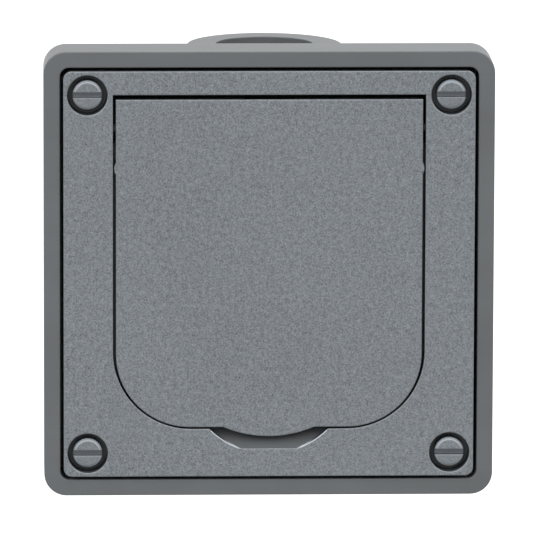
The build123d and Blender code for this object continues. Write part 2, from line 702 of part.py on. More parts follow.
def make_contact(side):
    """Line contact: a two-leaf grip for the pin and a tail out to its terminal."""
    pin_x = PIN_SPACING / 2
    leaf = CONTACT_GRIP / 2
    tip = contact_seat + CONTACT_LENGTH
    flare = tip + CONTACT_FLARE
    end = terminal_reach + CLAMP_SIZE / 2
    inner = pin_x - leaf - CONTACT_STRIP_THICKNESS
    outer = pin_x + leaf + CONTACT_STRIP_THICKNESS
    half = CONTACT_STRIP_WIDTH / 2
    tail_top = contact_seat + CONTACT_STRIP_THICKNESS
    tail = block((end - inner) / 2, -half, half, contact_seat, tail_top, (end + inner) / 2)
    grip = block((outer - inner) / 2, -half, half, contact_seat, tip, pin_x)
    grip -= block(leaf, -half, half, tail_top, tip, pin_x)
    lip = Polyline(
        (inner, tip),
        (inner + CONTACT_STRIP_THICKNESS, tip),
        (inner + CONTACT_STRIP_THICKNESS / 2, flare),
        (inner - CONTACT_STRIP_THICKNESS / 2, flare),
        close=True,
    )
    lips = make_face(lip) + Pos(2 * pin_x, 0) * mirror(make_face(lip), Plane.YZ)
    grip += extrude(from_above * lips, amount=half, both=True)
    contact = tail + grip
    tapped = TERMINAL_SCREW_RADIUS + THREAD_GAP
    contact -= rod(tapped, terminal_reach, 0, contact_seat, tail_top)
    return contact if side > 0 else mirror(contact, Plane.YZ)


def make_clamp(x, z, seat):
    """Square clamp plate of a terminal, with its lower edges turned up for the wire."""
    half = CLAMP_SIZE / 2
    clamp = block(half, z - half, z + half, seat, seat + CLAMP_THICKNESS, x)
    clamp = chamfer(front_edges(clamp), CLAMP_THICKNESS / 4)
    return clamp - rod(
        TERMINAL_SCREW_RADIUS + SCREW_CLEARANCE, x, z, seat, seat + CLAMP_THICKNESS
    )


def make_terminal_screw(x, z, seat, length):
    """Slotted terminal screw that presses its clamp down."""
    under_head = seat + CLAMP_THICKNESS
    head_front = under_head + TERMINAL_HEAD_HEIGHT
    screw = rod(TERMINAL_SCREW_RADIUS, x, z, seat - length, under_head)
    screw += rod(TERMINAL_HEAD_RADIUS, x, z, under_head, head_front)
    slot_half = SCREW_SLOT_WIDTH / 2
    return screw - block(
        TERMINAL_HEAD_RADIUS,
        z - slot_half,
        z + slot_half,
        head_front - SCREW_SLOT_DEPTH,
        head_front,
        x,
    )


def make_fixing_screw(x, z):
    """Long screw that holds the carrier on its post in the back box."""
    head_seat = carrier_front - FIXING_HEAD_HEIGHT - SCREW_CLEARANCE
    head_front = head_seat + FIXING_HEAD_HEIGHT
    screw = rod(FIXING_SCREW_RADIUS, x, z, BACK_WALL + SCREW_CLEARANCE, head_seat)
    screw += rod(FIXING_HEAD_RADIUS, x, z, head_seat, head_front)
    slot_half = SCREW_SLOT_WIDTH / 2
    return screw - block(
        FIXING_HEAD_RADIUS,
        z - slot_half,
        z + slot_half,
        head_front - SCREW_SLOT_DEPTH,
        head_front,
        x,
    )


def make_grommet():
    """Rubber membrane grommet in the bush, with a flange that closes on its lower end."""
    radius = GROMMET_SEAT_RADIUS - GROMMET_GAP
    core = radius - GROMMET_WALL
    flange_radius = radius + GROMMET_FLANGE_WIDTH
    flange_top = bush_bottom - GROMMET_GAP
    flange_bottom = flange_top - GROMMET_FLANGE
    rim = grommet_top - GROMMET_DOME
    profile = make_face(
        Polyline(
            (core, flange_bottom),
            (flange_radius, flange_bottom),
            (flange_radius, flange_top),
            (radius, flange_top),
            (radius, grommet_top),
            (core, grommet_top),
            (core, rim),
            (GROMMET_NIPPLE_RADIUS, grommet_top),
            (0, grommet_top),
            (0, grommet_top - GROMMET_MEMBRANE),
            (GROMMET_NIPPLE_RADIUS, grommet_top - GROMMET_MEMBRANE),
            (core, rim - GROMMET_MEMBRANE),
            close=True,
        )
    )
    turned = revolve(Plane.XZ * profile, Axis.Z)
    return Pos(0, -ENTRY_DEPTH, 0) * turned


def make_wall_seal(x, z):
    """Soft washer on the inside of the back wall, round a wall screw hole and clear of the sides."""
    ring = Circle(WALL_SEAL_RADIUS) - Circle(WALL_HOLE_RADIUS)
    washer = slab(Pos(x, z) * ring, BACK_WALL, BACK_WALL + WALL_SEAL_THICKNESS)
    return washer & drafted_body(BODY_WALL + WALL_SEAL_CLEARANCE, BACK_WALL)


def save(shape, node):
    """Write one sub-part."""
    export_step(shape, f"parts/{node}.step")


os.makedirs("parts", exist_ok=True)
save(make_back_box(), "back_box")
save(make_entry_bush(), "entry_bush")
save(make_cover(), "cover_plate")
save(make_gasket(), "cover_gasket")
save(make_lid(), "hinged_lid")
save(make_lid_seal(), "lid_seal")
save(make_hinge_pin(), "hinge_pin")
save(make_lid_spring(), "lid_spring")
save(make_socket_well(), "socket_well")
save(make_centre_screw(), "centre_screw")
save(make_centre_nut(), "centre_nut")
save(make_carrier(), "contact_carrier")
save(make_earth_strap(), "earth_strap")
save(make_grommet(), "cable_grommet")
for name, (x_sign, z_sign) in zip(corner_names, corner_signs):
    save(make_cover_screw(x_sign * screw_x, z_sign * screw_z), f"cover_screw_{name}")
    seal = make_wall_seal(x_sign * WALL_HOLE_SPACING / 2, z_sign * WALL_HOLE_SPACING / 2)
    save(seal, f"wall_seal_{name}")
for side, name in ((-1, "left"), (1, "right")):
    contact_top = contact_seat + CONTACT_STRIP_THICKNESS
    terminal_x = side * terminal_reach
    thread = CONTACT_STRIP_THICKNESS + EAR_THICKNESS / 2
    save(make_contact(side), f"line_contact_{name}")
    save(make_clamp(terminal_x, 0, contact_top), f"line_clamp_{name}")
    save(make_terminal_screw(terminal_x, 0, contact_top, thread), f"line_screw_{name}")
    fixing_place = side * FIXING_PITCH / 2
    save(make_fixing_screw(fixing_place, -fixing_place), f"fixing_screw_{name}")
save(make_clamp(0, -earth_reach, carrier_front), "earth_clamp")
earth_thread = EARTH_STRIP_THICKNESS + EAR_THICKNESS
save(make_terminal_screw(0, -earth_reach, carrier_front, earth_thread), "earth_screw")
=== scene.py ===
import json
import logging
import math
from collections.abc import Mapping
from dataclasses import dataclass
from enum import Enum

import bmesh
import bpy
from mathutils import Matrix, Quaternion, Vector

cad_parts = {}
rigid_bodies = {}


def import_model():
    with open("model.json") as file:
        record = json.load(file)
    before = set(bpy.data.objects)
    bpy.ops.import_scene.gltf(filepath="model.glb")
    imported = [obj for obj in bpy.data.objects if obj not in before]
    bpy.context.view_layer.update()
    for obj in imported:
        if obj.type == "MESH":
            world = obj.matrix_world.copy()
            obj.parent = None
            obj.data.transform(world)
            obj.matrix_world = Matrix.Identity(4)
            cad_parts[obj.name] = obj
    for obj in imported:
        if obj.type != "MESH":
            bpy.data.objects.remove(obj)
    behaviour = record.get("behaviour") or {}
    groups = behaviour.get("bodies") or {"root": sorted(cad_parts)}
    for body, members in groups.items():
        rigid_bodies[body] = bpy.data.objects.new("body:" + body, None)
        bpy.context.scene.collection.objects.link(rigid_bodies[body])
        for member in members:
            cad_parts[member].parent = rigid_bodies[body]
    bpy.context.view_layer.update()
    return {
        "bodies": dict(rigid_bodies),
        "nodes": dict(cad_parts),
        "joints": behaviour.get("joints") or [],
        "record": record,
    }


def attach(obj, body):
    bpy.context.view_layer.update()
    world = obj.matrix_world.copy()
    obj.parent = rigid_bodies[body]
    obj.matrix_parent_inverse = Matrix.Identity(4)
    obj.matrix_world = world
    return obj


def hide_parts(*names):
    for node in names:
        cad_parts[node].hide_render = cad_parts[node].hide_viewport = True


# Surface-mounted, splash-proof earthed wall socket, dressed for its portrait.
# Metres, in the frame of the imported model: X is to the right, Z is up, the
# front faces -Y, and the wall is the plane Y = 0.

LOG = logging.getLogger("wall_socket")
MM = 0.001

Colour = tuple[float, float, float]
Triple = tuple[float, float, float]
Range = tuple[float, float]
Elements = list[bmesh.types.BMVert | bmesh.types.BMEdge | bmesh.types.BMFace]

# Screen levels turn into linear light by a straight part and a power.
FULL_LEVEL = 255
STRAIGHT_UP_TO = 0.04045
STRAIGHT_SLOPE = 12.92
POWER_OFFSET = 0.055
POWER = 2.4

# How far a rounded normal has turned where an edge starts to show, and shows in full.
EDGE_TURN: Range = (0.005, 0.12)
BEVEL_SAMPLES = 8

# How squarely a surface faces the front: on a wall, and at both sides of a chamfer.
WALL_FACING: Range = (0.2, 0.4)
CHAMFER_STARTS: Range = (0.5, 0.6)
CHAMFER_ENDS: Range = (0.75, 0.85)


def linear_level(level: int) -> float:
    """Turn one level as a screen shows it into linear light.

    Args:
        level: The level, from 0 to 255.

    Returns:
        The linear level, from 0 to 1.
    """
    share = level / FULL_LEVEL
    if share <= STRAIGHT_UP_TO:
        return share / STRAIGHT_SLOPE
    return ((share + POWER_OFFSET) / (1 + POWER_OFFSET)) ** POWER


def linear(red: int, green: int, blue: int) -> Colour:
    """Return the linear light of a colour as a screen shows it, from 0 to 255."""
    return (linear_level(red), linear_level(green), linear_level(blue))


def scaled(colour: Colour, factor: float) -> Colour:
    """Return a colour made lighter or darker by a factor."""
    return (colour[0] * factor, colour[1] * factor, colour[2] * factor)


class Signal:
    """Output socket of a node, with the arithmetic that the finishes are written in."""

    def __init__(self, graph: "Graph", socket: bpy.types.NodeSocket) -> None:
        """Wrap a socket of a graph."""
        self.graph = graph
        self.socket = socket

    def _maths(self, operation: str, *values: "Signal | float") -> "Signal":
        """Add one Math node.

        Args:
            operation: What it works out.
            values: What it works on.

        Returns:
            Its result.
        """
        settings = {"operation": operation}
        node = self.graph.node("ShaderNodeMath", settings, dict(enumerate(values)))
        return Signal(self.graph, node.outputs[0])

    def __add__(self, other: "Signal | float") -> "Signal":
        """Sum of this and another value."""
        return self._maths("ADD", self, other)

    def __sub__(self, other: "Signal | float") -> "Signal":
        """This less another value."""
        return self._maths("SUBTRACT", self, other)

    def __rsub__(self, other: float) -> "Signal":
        """Another value less this."""
        return self._maths("SUBTRACT", other, self)

    def __mul__(self, other: "Signal | float") -> "Signal":
        """Product of this and another value."""
        return self._maths("MULTIPLY", self, other)

    def __abs__(self) -> "Signal":
        """Size of this, without its sign."""
        return self._maths("ABSOLUTE", self)

    __radd__ = __add__
    __rmul__ = __mul__

    def between(self, low: float, high: float) -> "Signal":
        """Rise smoothly from 0 to 1.

        Args:
            low: Level up to which it stays 0.
            high: Level from which it is 1.

        Returns:
            The smooth step.
        """
        settings = {"interpolation_type": "SMOOTHSTEP"}
        inputs = {"Value": self, "From Min": low, "From Max": high}
        node = self.graph.node("ShaderNodeMapRange", settings, inputs)
        return Signal(self.graph, node.outputs["Result"])


class Graph:
    """Node tree of one material, or of the world."""

    def __init__(self, owner: bpy.types.Material | bpy.types.World) -> None:
        """Empty the tree.

        Args:
            owner: The material or the world that it belongs to.
        """
        self.owner = owner
        owner.use_nodes = True
        self.tree = owner.node_tree
        self.tree.nodes.clear()

    def node(
        self,
        kind: str,
        settings: Mapping[str, object] | None = None,
        inputs: Mapping[str | int, object] | None = None,
    ) -> bpy.types.Node:
        """Make a node, set it up and feed its inputs.

        Args:
            kind: Type of the node.
            settings: Its settings, set before its inputs.
            inputs: Values or signals by the name or number of their socket.

        Returns:
            The node.
        """
        made = self.tree.nodes.new(kind)
        for name, value in (settings or {}).items():
            setattr(made, name, value)
        for name, value in (inputs or {}).items():
            socket = made.inputs[name]
            if isinstance(value, Signal):
                self.tree.links.new(value.socket, socket)
            elif isinstance(value, tuple) and len(value) == 3 and socket.type == "RGBA":
                socket.default_value = (*value, 1.0)
            else:
                socket.default_value = value
        return made

    def place(self) -> Signal:
        """Return the point on the object, in its own frame."""
        return Signal(self, self.node("ShaderNodeTexCoord").outputs["Object"])

    def along(self, axis: str) -> Signal:
        """Return one coordinate of the point on the object, X, Y or Z."""
        split = self.node("ShaderNodeSeparateXYZ", inputs={"Vector": self.place()})
        return Signal(self, split.outputs[axis])

    def facing(self) -> Signal:
        """Tell how squarely the surface faces the object's front.

        Returns:
            1 where it faces the front, 0 at its sides and -1 at its back.
        """
        normal = Signal(self, self.node("ShaderNodeTexCoord").outputs["Normal"])
        split = self.node("ShaderNodeSeparateXYZ", inputs={"Vector": normal})
        return 0.0 - Signal(self, split.outputs["Y"])

    def stretched(self, scale: Triple) -> Signal:
        """Return the point on the object with each direction scaled."""
        inputs = {"Vector": self.place(), "Scale": scale}
        return Signal(self, self.node("ShaderNodeMapping", inputs=inputs).outputs["Vector"])

    def noise(
        self, size: float, detail: float = 2.0, roughness: float = 0.5, where: Signal | None = None
    ) -> Signal:
        """Return soft noise from 0 to 1.

        Args:
            size: Size of its blotches, in metres, or in the units of where.
            detail: Number of finer layers.
            roughness: Share of the finer layers.
            where: Point that it is read at, or none for the point on the object.

        Returns:
            The noise.
        """
        inputs = {
            "Vector": where or self.place(),
            "Scale": 1 / size,
            "Detail": detail,
            "Roughness": roughness,
        }
        return Signal(self, self.node("ShaderNodeTexNoise", inputs=inputs).outputs["Fac"])

    def cells(self, size: float) -> Signal:
        """Return the distance to the nearest of many scattered points, from 0 to about 1."""
        inputs = {"Vector": self.place(), "Scale": 1 / size}
        return Signal(self, self.node("ShaderNodeTexVoronoi", inputs=inputs).outputs["Distance"])

    def blend(
        self, share: Signal | float, first: Signal | Colour, second: Signal | Colour
    ) -> Signal:
        """Mix two colours.

        Args:
            share: Share of the second one.
            first: Colour, or signal of one.
            second: Colour, or signal of one.

        Returns:
            The mixed colour.
        """
        settings = {"data_type": "RGBA"}
        mixed = self.node("ShaderNodeMix", settings, {0: share, 6: first, 7: second})
        return Signal(self, mixed.outputs[2])

    def rounded(self, radius: float) -> Signal:
        """Return the normal of the surface with its edges rounded off by a radius."""
        soft = self.node("ShaderNodeBevel", {"samples": BEVEL_SAMPLES}, {"Radius": radius})
        return Signal(self, soft.outputs[0])

    def edge_mask(self, rounded: Signal) -> Signal:
        """Find the edges of the surface.

        Args:
            rounded: Normal of the surface with its edges rounded off.

        Returns:
            How much of an edge there is, from 0 on a flat to 1.
        """
        true = Signal(self, self.node("ShaderNodeNewGeometry").outputs["Normal"])
        settings = {"operation": "DOT_PRODUCT"}
        dot = self.node("ShaderNodeVectorMath", settings, {0: rounded, 1: true})
        return (1.0 - Signal(self, dot.outputs["Value"])).between(*EDGE_TURN)

    def bump(self, height: Signal, depth: float, strength: float, over: Signal) -> Signal:
        """Return the normal of a surface with a relief.

        Args:
            height: Relief, from 0 to 1.
            depth: Its real depth, in metres.
            strength: Share of it that shows.
            over: Normal of the surface that it is on.

        Returns:
            The normal.
        """
        inputs = {"Height": height, "Distance": depth, "Strength": strength, "Normal": over}
        return Signal(self, self.node("ShaderNodeBump", inputs=inputs).outputs["Normal"])

    def shader(self, kind: str, output: str, inputs: Mapping[str | int, object]) -> Signal:
        """Return what a shader node gives, by its type, its output's name and its inputs."""
        return Signal(self, self.node(kind, inputs=inputs).outputs[output])

    def finish(self, inputs: Mapping[str, object]) -> bpy.types.Material:
        """Close the tree with a Principled shader.

        Args:
            inputs: The shader's inputs.

        Returns:
            The material.
        """
        surface = self.shader("ShaderNodeBsdfPrincipled", "BSDF", inputs)
        self.node("ShaderNodeOutputMaterial", inputs={"Surface": surface})
        return self.owner


@dataclass(frozen=True)
class Scoop:
    """Where a face has a finger scoop, with a polished floor in painted shade and a painted
    highlight along its edges at the face.
    """

    half_width: float
    bottom: float
    top: float
    fade: float = 0.15 * MM
    floor_depth: Range = (0.005 * MM, 0.03 * MM)
    edge_radius: float = 0.45 * MM
    edge_depth: Range = (0.5 * MM, 1.0 * MM)
    painted_highlight: float = 3.8

    def inside(self, graph: Graph) -> Signal:
        """Mark the scoop's part of the face.

        Args:
            graph: Graph of the face's material.

        Returns:
            1 inside it and 0 outside.
        """
        across = abs(graph.along("X")).between(self.half_width, self.half_width + self.fade)
        height = graph.along("Z")
        below = height.between(self.bottom - self.fade, self.bottom)
        above = height.between(self.top, self.top + self.fade)
        return (1.0 - across) * below * (1.0 - above)

    def painted_edge_highlight(self, graph: Graph, depth: Signal) -> Signal:
        """Find the scoop's edges at the face, which get a painted highlight.

        Args:
            graph: Graph of the face's material.
            depth: How far behind the face the surface is.

        Returns:
            How much of such an edge there is, from 0 to 1.
        """
        highlighted = graph.edge_mask(graph.rounded(self.edge_radius))
        return highlighted * (1.0 - depth.between(*self.edge_depth))


@dataclass(frozen=True)
class Grain:
    """Layers of a spark-eroded grain, with their shares and sizes."""

    size: float = 0.27 * MM
    depth: float = 0.030 * MM
    shown: float = 0.8
    fine: float = 0.62
    broad: float = 0.22
    broad_size: float = 3.2
    pits: float = 0.16
    pit_size: float = 1.3
    middle: float = 0.46
    spread: float = 2.4
    cloud: float = 0.10
    cloud_size: float = 24 * MM

    def relief(self, graph: Graph, fine: Signal) -> Signal:
        """Add up the layers.

        Args:
            graph: Graph of the material.
            fine: Its finest layer.

        Returns:
            The relief, from 0 to 1.
        """
        broad = graph.noise(self.size * self.broad_size, detail=2.0)
        pits = graph.cells(self.size * self.pit_size)
        return fine * self.fine + broad * self.broad + pits * self.pits

    def tone(self, graph: Graph, relief: Signal) -> Signal:
        """Spread the relief into light and dark, with faint broad clouds.

        Args:
            graph: Graph of the material.
            relief: The relief.

        Returns:
            The tone, around 0.5.
        """
        cloud = graph.noise(self.cloud_size, detail=2.0)
        return (relief - self.middle) * self.spread + (cloud - 0.5) * self.cloud + 0.5


@dataclass(frozen=True)
class GrainedPlastic:
    """Moulded plastic with the fine pitted grain of a spark-eroded tool on its face.

    What is sunk behind the face comes from polished steel, so it is smoother; its colour there is
    scaled as painted shade, and darkened further on its walls as painted shade. A scale above 1
    paints light instead. Edges and chamfers on the face get a painted highlight.
    """

    name: str
    colour: Colour
    grain: Grain = Grain()
    face: float = 50.0 * MM
    sunk_from: float = 0.2 * MM
    sunk_fade: float = 0.15 * MM
    sunk_painted_light: float = 0.36
    sunk_polish: float = 0.12
    wall_painted_shade: float = 0.4
    roughness: float = 0.50
    grain_roughness: float = 0.16
    specular: float = 0.42
    contrast: float = 0.80
    edge_radius: float = 0.34 * MM
    edge_highlight_share: float = 0.6
    chamfer_highlight_share: float = 0.35
    painted_highlight: float = 1.8
    scoop: Scoop | None = None

    def make(self) -> bpy.types.Material:
        """Build the material.

        Returns:
            The material.
        """
        graph = Graph(bpy.data.materials.new(self.name))
        fine = graph.noise(self.grain.size, detail=3.0, roughness=0.65)
        relief = self.grain.relief(graph, fine)
        rounded = graph.rounded(self.edge_radius)
        facing = graph.facing()
        depth = graph.along("Y") + self.face
        sunk = depth.between(self.sunk_from, self.sunk_from + self.sunk_fade)
        colour = self._face_colour(graph, relief, rounded, facing)
        # The scoop's floor gets the same painted shade as what is sunk, right from the face.
        if self.scoop:
            inside = self.scoop.inside(graph)
            sunk = sunk + (1.0 - sunk) * inside * depth.between(*self.scoop.floor_depth)
        # Painted shade on what is sunk behind the face: gaps, recesses and the scoop's floor. A
        # scale above 1 paints light instead, as on the screws' slots.
        colour = graph.blend(sunk, colour, scaled(self.colour, self.sunk_painted_light))
        # Painted shade, darker still, on the walls of what is sunk.
        wall = sunk * (1.0 - facing.between(*WALL_FACING))
        colour = graph.blend(wall, colour, scaled(self.colour, self.wall_painted_shade))
        if self.scoop:
            # Painted highlight along the scoop's edges at the face.
            edge = inside * self.scoop.painted_edge_highlight(graph, depth)
            colour = graph.blend(edge, colour, scaled(self.colour, self.scoop.painted_highlight))
        return graph.finish(
            {
                "Base Color": colour,
                "Roughness": self.roughness + fine * self.grain_roughness - sunk * self.sunk_polish,
                "Specular IOR Level": self.specular,
                "Normal": graph.bump(relief, self.grain.depth, self.grain.shown, rounded),
            }
        )

    def _face_colour(
        self, graph: Graph, relief: Signal, rounded: Signal, facing: Signal
    ) -> Signal:
        """Colour the face, with a painted highlight along its edges and chamfers.

        Args:
            graph: Graph of the material.
            relief: Relief of the grain.
            rounded: Normal of the surface with its edges rounded off.
            facing: How squarely the surface faces the front.

        Returns:
            The colour.
        """
        dark = scaled(self.colour, 1 - self.contrast)
        light = scaled(self.colour, 1 + self.contrast)
        grained = graph.blend(self.grain.tone(graph, relief), dark, light)
        # Painted highlight along the edges and on chamfers.
        chamfer = facing.between(*CHAMFER_STARTS) * (1.0 - facing.between(*CHAMFER_ENDS))
        edge = graph.edge_mask(rounded)
        share = edge * self.edge_highlight_share + chamfer * self.chamfer_highlight_share
        return graph.blend(share, grained, scaled(self.colour, self.painted_highlight))


@dataclass(frozen=True)
class SatinPlastic:
    """Smooth moulded plastic with a satin skin and faint flow and handling marks."""

    name: str
    colour: Colour
    roughness: float = 0.42
    specular: float = 0.45
    variation: float = 0.11
    flow: float = 0.6
    flow_scale: Triple = (38.0, 160.0, 150.0)
    cloud: float = 0.8
    cloud_size: float = 16 * MM
    speckle: float = 0.35
    skin_size: float = 0.16 * MM
    skin_depth: float = 0.006 * MM
    skin_shown: float = 0.6
    smear_size: float = 4 * MM
    smear_range: Range = (0.55, 0.75)
    smear_roughness: float = 0.05
    cloud_roughness: float = 0.06
    mean_marks: float = 0.04
    edge_radius: float = 0.30 * MM
    edge_highlight_share: float = 0.16
    painted_highlight: float = 1.5

    def make(self) -> bpy.types.Material:
        """Build the material.

        Returns:
            The material.
        """
        graph = Graph(bpy.data.materials.new(self.name))
        flow = graph.noise(1.0, detail=3.0, where=graph.stretched(self.flow_scale))
        cloud = graph.noise(self.cloud_size, detail=3.0, roughness=0.6)
        skin = graph.noise(self.skin_size, detail=2.0)
        smear = graph.noise(self.smear_size, detail=4.0, roughness=0.7).between(*self.smear_range)
        marks = (flow - 0.5) * self.flow + (cloud - 0.5) * self.cloud
        tone = marks + (skin - 0.5) * self.speckle + 0.5
        dark = scaled(self.colour, 1 - 2 * self.variation)
        light = scaled(self.colour, 1 + 2 * self.variation)
        rounded = graph.rounded(self.edge_radius)
        # Painted highlight along the edges.
        edge = graph.edge_mask(rounded) * self.edge_highlight_share
        colour = graph.blend(tone, dark, light)
        dulling = smear * self.smear_roughness + cloud * self.cloud_roughness
        return graph.finish(
            {
                "Base Color": graph.blend(edge, colour, scaled(self.colour, self.painted_highlight)),
                "Roughness": dulling + (self.roughness - self.mean_marks),
                "Specular IOR Level": self.specular,
                "Normal": graph.bump(skin, self.skin_depth, self.skin_shown, rounded),
            }
        )


@dataclass(frozen=True)
class SoftRubber:
    """Matt moulded rubber with a dusty bloom."""

    name: str
    colour: Colour
    roughness: float = 0.62
    specular: float = 0.35
    skin_size: float = 0.25 * MM
    skin_depth: float = 0.02 * MM
    skin_shown: float = 0.7
    bloom_size: float = 3 * MM
    bloom_range: Range = (0.42, 0.78)
    bloom_share: float = 0.5
    bloom_light: float = 1.9
    bloom_roughness: float = 0.2
    edge_radius: float = 0.1 * MM

    def make(self) -> bpy.types.Material:
        """Build the material.

        Returns:
            The material.
        """
        graph = Graph(bpy.data.materials.new(self.name))
        skin = graph.noise(self.skin_size, detail=3.0)
        bloom = graph.noise(self.bloom_size, detail=4.0, roughness=0.65).between(*self.bloom_range)
        dusty = scaled(self.colour, self.bloom_light)
        rounded = graph.rounded(self.edge_radius)
        return graph.finish(
            {
                "Base Color": graph.blend(bloom * self.bloom_share, self.colour, dusty),
                "Roughness": self.roughness + bloom * self.bloom_roughness,
                "Specular IOR Level": self.specular,
                "Normal": graph.bump(skin, self.skin_depth, self.skin_shown, rounded),
            }
        )


class Marks(Enum):
    """How a metal piece was made, which gives the marks on it."""

    ROLLED = "rolled strip, with fine lines along it"
    TURNED = "turned or drawn, with fine rings round it"
    TUMBLED = "tumbled in bulk, with a soft speckle"


# How much finer than a metre the marks are in each direction, and their finer layers.
LINES: Mapping[Marks, tuple[Triple, float]] = {
    Marks.ROLLED: ((9000.0, 400.0, 400.0), 3.0),
    Marks.TURNED: ((500.0, 7000.0, 500.0), 2.0),
}


@dataclass(frozen=True)
class Metal:
    """Metal with the marks of how it was made and a little dulling."""

    name: str
    colour: Colour
    marks: Marks
    roughness: float = 0.30
    speckle_size: float = 0.22 * MM
    mark_depth: float = 0.004 * MM
    mark_shown: float = 0.7
    mark_roughness: float = 0.14
    dull_size: float = 1.8 * MM
    dull_range: Range = (0.40, 0.72)
    dull_share: float = 0.55
    dull_shade: float = 0.72
    dull_roughness: float = 0.10
    mean_marks: float = 0.09
    edge_radius: float = 0.08 * MM

    def make(self) -> bpy.types.Material:
        """Build the material.

        Returns:
            The material.
        """
        graph = Graph(bpy.data.materials.new(self.name))
        lines = self._lines(graph)
        dull = graph.noise(self.dull_size, detail=3.0, roughness=0.6).between(*self.dull_range)
        dulled = scaled(self.colour, self.dull_shade)
        marked = lines * self.mark_roughness + dull * self.dull_roughness
        rounded = graph.rounded(self.edge_radius)
        return graph.finish(
            {
                "Base Color": graph.blend(dull * self.dull_share, self.colour, dulled),
                "Metallic": 1.0,
                "Roughness": marked + (self.roughness - self.mean_marks),
                "Normal": graph.bump(lines, self.mark_depth, self.mark_shown, rounded),
            }
        )

    def _lines(self, graph: Graph) -> Signal:
        """Lay down the marks of how the piece was made.

        Args:
            graph: Graph of the material.

        Returns:
            The marks, from 0 to 1.
        """
        if self.marks is Marks.TUMBLED:
            return graph.noise(self.speckle_size, detail=3.0, roughness=0.6)
        scale, detail = LINES[self.marks]
        return graph.noise(1.0, detail=detail, where=graph.stretched(scale))


@dataclass(frozen=True)
class PlainWhite:
    """Floor that the camera sees as white paper, with the object's shadow.

    It gives back less light than it seems to, so that the object isn't lit from below.
    """

    name: str
    seen: float = 0.92
    given_back: float = 0.22
    fibre_size: float = 6 * MM
    fibre_light: float = 1.02

    def make(self) -> bpy.types.Material:
        """Build the material.

        Returns:
            The material.
        """
        graph = Graph(bpy.data.materials.new(self.name))
        path = graph.node("ShaderNodeLightPath")
        looked_at = Signal(graph, path.outputs["Is Camera Ray"])
        looked_at = looked_at + Signal(graph, path.outputs["Is Glossy Ray"])
        looked_at = looked_at + Signal(graph, path.outputs["Is Transmission Ray"])
        fibre = graph.noise(self.fibre_size, detail=3.0)
        plain = (self.seen,) * 3
        white = graph.blend(fibre, plain, scaled(plain, self.fibre_light))
        grey = (self.given_back,) * 3
        given = graph.shader("ShaderNodeBsdfDiffuse", "BSDF", {"Color": grey})
        seen = graph.shader("ShaderNodeBsdfDiffuse", "BSDF", {"Color": white})
        inputs = {0: looked_at, 1: given, 2: seen}
        surface = graph.shader("ShaderNodeMixShader", "Shader", inputs)
        graph.node("ShaderNodeOutputMaterial", inputs={"Surface": surface})
        return graph.owner


class Workbench:
    """Shared helpers for the pieces: dressing CAD nodes and finishing new meshes."""

    SAME_PLACE = 0.0005 * MM

    def __init__(self, frame: Mapping[str, object]) -> None:
        """Keep the nodes of the frame that the model was loaded in."""
        self.nodes: Mapping[str, bpy.types.Object] = frame["nodes"]

    def dress(self, material: bpy.types.Material, *names: str) -> None:
        """Give CAD nodes their finish.

        Args:
            material: The finish.
            names: The nodes.
        """
        for name in names:
            node = self.nodes[name]
            node.data.materials.clear()
            node.data.materials.append(material)
            LOG.info("dressed %s with %s", name, material.name)

    def starting(self, *starts: str) -> list[str]:
        """Return the names of the nodes that start in one of these ways."""
        return [name for name in self.nodes if name.startswith(starts)]

    def piece(
        self, name: str, shape: bmesh.types.BMesh, material: bpy.types.Material, slot: str
    ) -> bpy.types.Object:
        """Turn a bmesh into a smooth-shaded piece at the origin.

        Args:
            name: Name of the piece.
            shape: Its mesh, which is freed.
            material: Its finish.
            slot: Not used.

        Returns:
            The piece, linked to the scene.
        """
        bmesh.ops.remove_doubles(shape, verts=shape.verts, dist=self.SAME_PLACE)
        bmesh.ops.recalc_face_normals(shape, faces=shape.faces)
        mesh = bpy.data.meshes.new(name)
        shape.to_mesh(mesh)
        shape.free()
        mesh.shade_smooth()
        mesh.materials.append(material)
        made = bpy.data.objects.new(name, mesh)
        bpy.context.scene.collection.objects.link(made)
        LOG.info("built %s with %d faces", name, len(mesh.polygons))
        return made


@dataclass
class WallBox:
    """The box on the wall, its cable entry and the washers behind its screws."""

    bench: Workbench
    box_finish: SatinPlastic
    grommet_finish: SoftRubber
    seal_finish: SoftRubber

    def build(self) -> None:
        """Dress the box and what is fixed in it."""
        self.bench.dress(self.box_finish.make(), "back_box", "entry_bush")
        self.bench.dress(self.grommet_finish.make(), "cable_grommet")
        self.bench.dress(self.seal_finish.make(), *self.bench.starting("wall_seal_"))


@dataclass
class Cover:
    """The screwed cover, its four screws and its gasket."""

    bench: Workbench
    face_finish: GrainedPlastic
    screw_finish: GrainedPlastic
    gasket_finish: SoftRubber

    def build(self) -> None:
        """Dress the cover and what holds and seals it."""
        self.bench.dress(self.face_finish.make(), "cover_plate")
        self.bench.dress(self.screw_finish.make(), *self.bench.starting("cover_screw_"))
        self.bench.dress(self.gasket_finish.make(), "cover_gasket")


